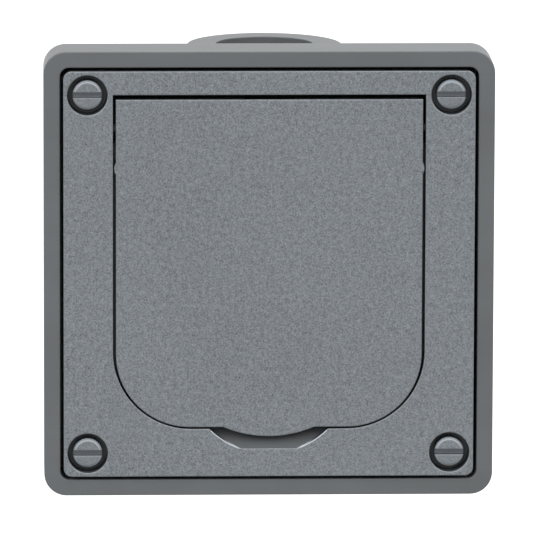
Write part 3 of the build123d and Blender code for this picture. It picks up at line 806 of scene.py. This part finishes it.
@dataclass(frozen=True)
class LidSpring:
    """Torsion spring of round wire on the hinge pin, with a leg at each end.

    A leg's rest is its end's height over the hinge, and how far it is ahead of it.
    """

    hinge_depth: float = 47.0 * MM
    hinge_height: float = 26.05 * MM
    wire: float = 0.6 * MM
    wire_sides: int = 14
    end_round: float = 0.2
    coil_radius: float = 1.6 * MM
    pitch: float = 0.62 * MM
    turns: int = 7
    steps_per_turn: int = 40
    floor_rest: tuple[float, float] = (-2.35 * MM, -5.6 * MM)
    heel_rest: tuple[float, float] = (4.8 * MM, 1.7 * MM)

    def coil(self) -> bmesh.types.BMesh:
        """Wind the coil, with the leg that rests on the trough's floor.

        Returns:
            Its mesh.
        """
        start = -self.turns * self.pitch / 2
        angle = self._touch(self.floor_rest, 1)
        shape = self._wound(start, angle, self.turns, closed=False)
        self._add_leg(shape, start, angle, self.floor_rest)
        return shape

    def lid_leg(self) -> bmesh.types.BMesh:
        """Make the last turn, which goes round with the lid, and the leg behind its heel.

        Returns:
            Its mesh.
        """
        place = self.turns * self.pitch / 2 + self.pitch
        angle = self._touch(self.heel_rest, -1)
        shape = self._wound(place, angle, 1, closed=True)
        self._add_leg(shape, place, angle, self.heel_rest)
        return shape

    def _touch(self, rest: tuple[float, float], side: int) -> float:
        """Find where a leg leaves the coil.

        Args:
            rest: Where the leg rests.
            side: Which of the two tangents it takes, 1 or -1.

        Returns:
            The angle from straight up, towards the front.
        """
        up, ahead = rest
        return math.atan2(ahead, up) + side * math.acos(self.coil_radius / math.hypot(up, ahead))

    def _section(self, shape: bmesh.types.BMesh, x: float, angle: float) -> Elements:
        """Put the wire's round section on the coil's circle.

        Args:
            shape: Mesh that it goes into.
            x: Its place along the hinge.
            angle: Its angle from straight up, towards the front.

        Returns:
            Its vertices, edges and face.
        """
        made = bmesh.ops.create_circle(
            shape, cap_ends=True, segments=self.wire_sides, radius=self.wire / 2
        )
        radial = Vector((0, -math.sin(angle), math.cos(angle)))
        along = Vector((1, 0, 0))
        turned = Matrix((along, radial, along.cross(radial))).transposed()
        middle = Vector((x, -self.hinge_depth, self.hinge_height)) + radial * self.coil_radius
        spot = Matrix.Translation(middle) @ turned.to_4x4()
        bmesh.ops.transform(shape, matrix=spot, verts=made["verts"])
        faces = {face for vert in made["verts"] for face in vert.link_faces}
        edges = {edge for vert in made["verts"] for edge in vert.link_edges}
        return [*made["verts"], *edges, *faces]

    def _wound(self, x: float, angle: float, turns: int, closed: bool) -> bmesh.types.BMesh:
        """Wind the wire round the hinge.

        Args:
            x: Where along the hinge it starts.
            angle: Angle that it starts at, from straight up, towards the front.
            turns: Number of turns.
            closed: Whether it is one ring, and doesn't move along the hinge.

        Returns:
            Its mesh.
        """
        shape = bmesh.new()
        steps = turns * self.steps_per_turn
        step_along = 0.0 if closed else turns * self.pitch / steps
        bmesh.ops.spin(
            shape,
            geom=self._section(shape, x, angle),
            cent=(0, -self.hinge_depth, self.hinge_height),
            axis=(1, 0, 0),
            dvec=(step_along, 0, 0),
            angle=2 * math.pi * turns,
            steps=steps,
            use_merge=closed,
            use_duplicate=False,
        )
        return shape

    def _add_leg(
        self, shape: bmesh.types.BMesh, x: float, angle: float, rest: tuple[float, float]
    ) -> None:
        """Add a straight, round-ended leg from the coil's circle to its rest.

        Args:
            shape: Mesh that it goes into.
            x: Its place along the hinge.
            angle: Angle at which it leaves the coil.
            rest: Where it rests.
        """
        section = self._section(shape, x, angle)
        faces = [part for part in section if isinstance(part, bmesh.types.BMFace)]
        start = sum((v.co for v in faces[0].verts), Vector()) / len(faces[0].verts)
        up, ahead = rest
        end = Vector((x, -(self.hinge_depth + ahead), self.hinge_height + up))
        pushed = bmesh.ops.extrude_face_region(shape, geom=faces)
        tip = [part for part in pushed["geom"] if isinstance(part, bmesh.types.BMVert)]
        bmesh.ops.translate(shape, verts=tip, vec=end - start)
        near_tip = {edge for vert in tip for edge in vert.link_edges}
        bmesh.ops.bevel(
            shape,
            geom=[edge for edge in near_tip if all(vert in tip for vert in edge.verts)],
            offset=self.wire * self.end_round,
            offset_type="OFFSET",
            affect="EDGES",
            segments=2,
            profile=0.5,
            material=-1,
        )


@dataclass
class FlapLid:
    """The flap lid with its seal, its hinge pin and the spring that shuts it."""

    bench: Workbench
    lid_finish: GrainedPlastic
    seal_finish: SoftRubber
    pin_finish: Metal
    spring_finish: Metal
    spring: LidSpring = LidSpring()

    def build(self) -> None:
        """Dress the lid and its hinge, and coil the spring."""
        self.bench.dress(self.lid_finish.make(), "hinged_lid")
        self.bench.dress(self.seal_finish.make(), "lid_seal")
        self.bench.dress(self.pin_finish.make(), "hinge_pin")
        steel = self.spring_finish.make()
        coil = self.bench.piece("spring_coil", self.spring.coil(), steel, "spring_steel")
        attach(coil, "housing")
        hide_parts("lid_spring")
        leg = self.bench.piece("spring_lid_leg", self.spring.lid_leg(), steel, "spring_steel")
        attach(leg, "lid")


@dataclass
class PlugInsert:
    """What is behind the lid: the recess, its carrier, the contacts and the terminals."""

    bench: Workbench
    well_finish: SatinPlastic
    carrier_finish: SatinPlastic
    strap_finish: Metal
    contact_finish: Metal
    screw_finish: Metal

    def build(self) -> None:
        """Dress the insert."""
        self.bench.dress(self.well_finish.make(), "socket_well")
        self.bench.dress(self.carrier_finish.make(), "contact_carrier")
        clamps = self.bench.starting("line_clamp_")
        self.bench.dress(self.strap_finish.make(), "earth_strap", "earth_clamp", *clamps)
        contacts = self.bench.starting("line_contact_")
        self.bench.dress(self.contact_finish.make(), *contacts)
        screws = self.bench.starting("line_screw_", "fixing_screw_")
        steel = self.screw_finish.make()
        self.bench.dress(steel, "centre_screw", "centre_nut", "earth_screw", *screws)


@dataclass(frozen=True)
class Lamp:
    """Lamp so far off that its light is even.

    Its direction is from the object, its strength is in watts per square metre, and its
    width is how wide it looks from the object, in degrees.
    """

    name: str
    towards: Triple
    strength: float
    width: float

    def hang(self) -> None:
        """Add the lamp to the scene."""
        data = bpy.data.lights.new(self.name, "SUN")
        data.energy = self.strength
        data.angle = math.radians(self.width)
        lamp = bpy.data.objects.new(self.name, data)
        lamp.rotation_euler = Vector(self.towards).to_track_quat("Z", "Y").to_euler()
        bpy.context.scene.collection.objects.link(lamp)


@dataclass
class Studio:
    """White floor, soft lamps and the camera at the photograph's angle."""

    lamps: tuple[Lamp, ...] = (
        Lamp("left_lamp", (-0.68, -0.5, 0.6), 1.26, 30.0),
        Lamp("right_lamp", (0.68, -0.5, 0.6), 1.14, 30.0),
        Lamp("overhead_lamp", (0.0, -0.12, 1.0), 1.9, 40.0),
        Lamp("front_lamp", (-0.15, -1.0, 0.35), 0.32, 30.0),
    )
    wall_light: Colour = (0.40, 0.405, 0.41)
    backdrop: Colour = (1.0, 1.0, 1.0)
    floor_level: float = -0.30
    floor_size: float = 60.0
    elevation: float = 10.0
    azimuth: float = -2.0
    roll: float = 0.17
    distance: float = 1.38
    frame_width: float = 96.0 * MM
    picture_width: float = 540.0
    middle_pixel: tuple[float, float] = (268.9, 273.5)
    face_middle: Triple = (0.0, -48.7 * MM, 0.0)
    sensor_width: float = 36.0
    sight: Range = (0.05, 100.0)

    def build(self) -> None:
        """Set up the floor, the light and the camera."""
        self._floor()
        self._world()
        for lamp in self.lamps:
            lamp.hang()
        self._camera()
        bpy.context.scene.view_settings.view_transform = "Standard"

    def _floor(self) -> None:
        """Lay the floor."""
        shape = bmesh.new()
        bmesh.ops.create_grid(shape, x_segments=1, y_segments=1, size=self.floor_size / 2)
        bmesh.ops.translate(shape, verts=shape.verts, vec=(0, 0, self.floor_level))
        mesh = bpy.data.meshes.new("floor")
        shape.to_mesh(mesh)
        shape.free()
        mesh.materials.append(PlainWhite("floor_paper").make())
        floor = bpy.data.objects.new("floor", mesh)
        bpy.context.scene.collection.objects.link(floor)

    def _world(self) -> None:
        """Light the scene from all round, and show white behind the object."""
        world = bpy.data.worlds.new("studio_walls")
        bpy.context.scene.world = world
        graph = Graph(world)
        path = graph.node("ShaderNodeLightPath")
        inputs = {
            0: Signal(graph, path.outputs["Is Diffuse Ray"]),
            1: graph.shader("ShaderNodeBackground", "Background", {"Color": self.backdrop}),
            2: graph.shader("ShaderNodeBackground", "Background", {"Color": self.wall_light}),
        }
        surface = graph.shader("ShaderNodeMixShader", "Shader", inputs)
        graph.node("ShaderNodeOutputWorld", inputs={"Surface": surface})

    def _camera(self) -> None:
        """Place the camera, so that the face's middle falls on its pixel."""
        angle = math.radians(self.azimuth)
        lift = math.radians(self.elevation)
        level = math.cos(lift)
        back = Vector((math.sin(angle) * level, -math.cos(angle) * level, math.sin(lift)))
        upright = (-back).to_track_quat("-Z", "Y")
        turn = Quaternion(back, math.radians(self.roll)) @ upright
        right = turn @ Vector((1, 0, 0))
        up = turn @ Vector((0, 1, 0))
        pixel = self.frame_width / self.picture_width
        across = (self.picture_width / 2 - self.middle_pixel[0]) * pixel
        above = (self.middle_pixel[1] - self.picture_width / 2) * pixel
        aim = Vector(self.face_middle) + right * across + up * above
        data = bpy.data.cameras.new("camera")
        data.sensor_width = self.sensor_width
        data.lens = self.sensor_width * self.distance / self.frame_width
        data.clip_start, data.clip_end = self.sight
        camera = bpy.data.objects.new("camera", data)
        camera.rotation_mode = "QUATERNION"
        camera.rotation_quaternion = turn
        camera.location = aim + back * self.distance
        bpy.context.scene.collection.objects.link(camera)
        bpy.context.scene.camera = camera


COVER_GREY = linear(112, 117, 121)
RIM_GREY = linear(95, 98, 100)
COVER_SCOOP = Scoop(half_width=10.3 * MM, bottom=-31.8 * MM, top=-27.6 * MM)
# The screws: painted light on the floor of the slot, and a strong painted highlight on the head's
# chamfer and edges.
SCREW_GRAIN = GrainedPlastic(
    "screw_grain",
    COVER_GREY,
    face=49.7 * MM,
    sunk_from=0.5 * MM,
    sunk_painted_light=1.3,
    roughness=0.30,
    contrast=0.6,
    edge_highlight_share=0.3,
    chamfer_highlight_share=0.9,
    painted_highlight=2.4,
)


def main() -> None:
    """Load the model, build each sub-assembly and set up the studio."""
    logging.basicConfig(level=logging.INFO, format="%(name)s: %(message)s")
    for leftover in list(bpy.data.objects):
        bpy.data.objects.remove(leftover)
    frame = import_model()
    bench = Workbench(frame)
    black_seal = SoftRubber("seal_black", linear(34, 34, 34))
    WallBox(
        bench,
        SatinPlastic("box_satin_grey", RIM_GREY),
        SoftRubber("grommet_grey", linear(48, 48, 49)),
        black_seal,
    ).build()
    Cover(
        bench,
        GrainedPlastic("cover_grain", COVER_GREY, scoop=COVER_SCOOP),
        SCREW_GRAIN,
        black_seal,
    ).build()
    FlapLid(
        bench,
        GrainedPlastic("lid_grain", COVER_GREY),
        black_seal,
        Metal("pin_browned_steel", linear(58, 57, 56), Marks.TURNED, roughness=0.4),
        Metal("spring_steel", linear(150, 149, 146), Marks.TUMBLED, roughness=0.34),
    ).build()
    PlugInsert(
        bench,
        SatinPlastic("well_satin_grey", linear(100, 102, 104), roughness=0.38),
        SatinPlastic("carrier_light_grey", linear(196, 196, 190), roughness=0.5),
        Metal("nickel_strip", linear(206, 201, 190), Marks.ROLLED, roughness=0.26),
        Metal("brass_strip", linear(214, 178, 104), Marks.ROLLED, roughness=0.28),
        Metal("zinc_screw", linear(198, 200, 202), Marks.TUMBLED, roughness=0.28),
    ).build()
    Studio().build()


if __name__ == "__main__":
    main()
